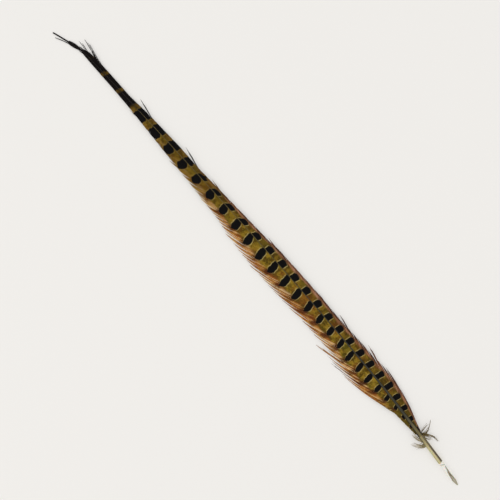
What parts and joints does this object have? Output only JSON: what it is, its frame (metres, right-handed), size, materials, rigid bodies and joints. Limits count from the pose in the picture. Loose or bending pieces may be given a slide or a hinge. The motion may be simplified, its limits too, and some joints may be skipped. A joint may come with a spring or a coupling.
{
  "type": "quill pen",
  "caption": "Long barred tail-feather quill with a scoop-cut, slit nib, a hollow barrel, a tapering bowed shaft and two unequal webbed vanes ending in a thin dark strand.",
  "frame": {"origin": "on the barrel's axis, in the middle of the grip", "axes": "+X along the barrel to the nib's point, +Y to the narrow vane, +Z to the feather's upper face"},
  "size_m": [0.3682, 0.0415, 0.0032],
  "materials": {
    "horn": "smooth translucent keratin, clear at the nib and olive towards the vanes",
    "dried_pulp": "thin, dry, slightly wrinkled membrane",
    "shaft_horn": "grey-green keratin with a satin ridge",
    "pith": "matte, finely porous",
    "wide_barbs": "golden olive with black bars, rust and buff to the edge",
    "narrow_barbs": "golden olive with black bars, mauve brown to the edge",
    "tip_barbs": "nearly black, matted together",
    "down": "loose grey-brown down"
  },
  "bodies": {
    "root": {"barrel": "horn", "down_narrow_side": "down", "down_wide_side": "down", "loose_barbs_narrow": "narrow_barbs", "loose_barbs_wide": "wide_barbs", "narrow_vane_web_1": "narrow_barbs", "narrow_vane_web_2": "narrow_barbs", "narrow_vane_web_3": "narrow_barbs", "narrow_vane_web_4": "narrow_barbs", "narrow_vane_web_5": "narrow_barbs", "narrow_vane_web_6": "narrow_barbs", "narrow_vane_web_7": "narrow_barbs", "narrow_vane_web_8": "narrow_barbs", "narrow_vane_web_9": "narrow_barbs", "pulp_caps": "dried_pulp", "pulp_lining": "dried_pulp", "shaft_cortex": "shaft_horn", "shaft_pith": "pith", "tip_barbs": "tip_barbs", "tip_vane": "tip_barbs", "wide_vane_base": "wide_barbs", "wide_vane_web_1": "wide_barbs", "wide_vane_web_2": "wide_barbs", "wide_vane_web_3": "wide_barbs", "wide_vane_web_4": "wide_barbs", "wide_vane_web_5": "wide_barbs", "wide_vane_web_6": "wide_barbs", "wide_vane_web_7": "wide_barbs", "wide_vane_web_8": "wide_barbs", "wide_vane_web_9": "wide_barbs"}
  },
  "joints": []
}
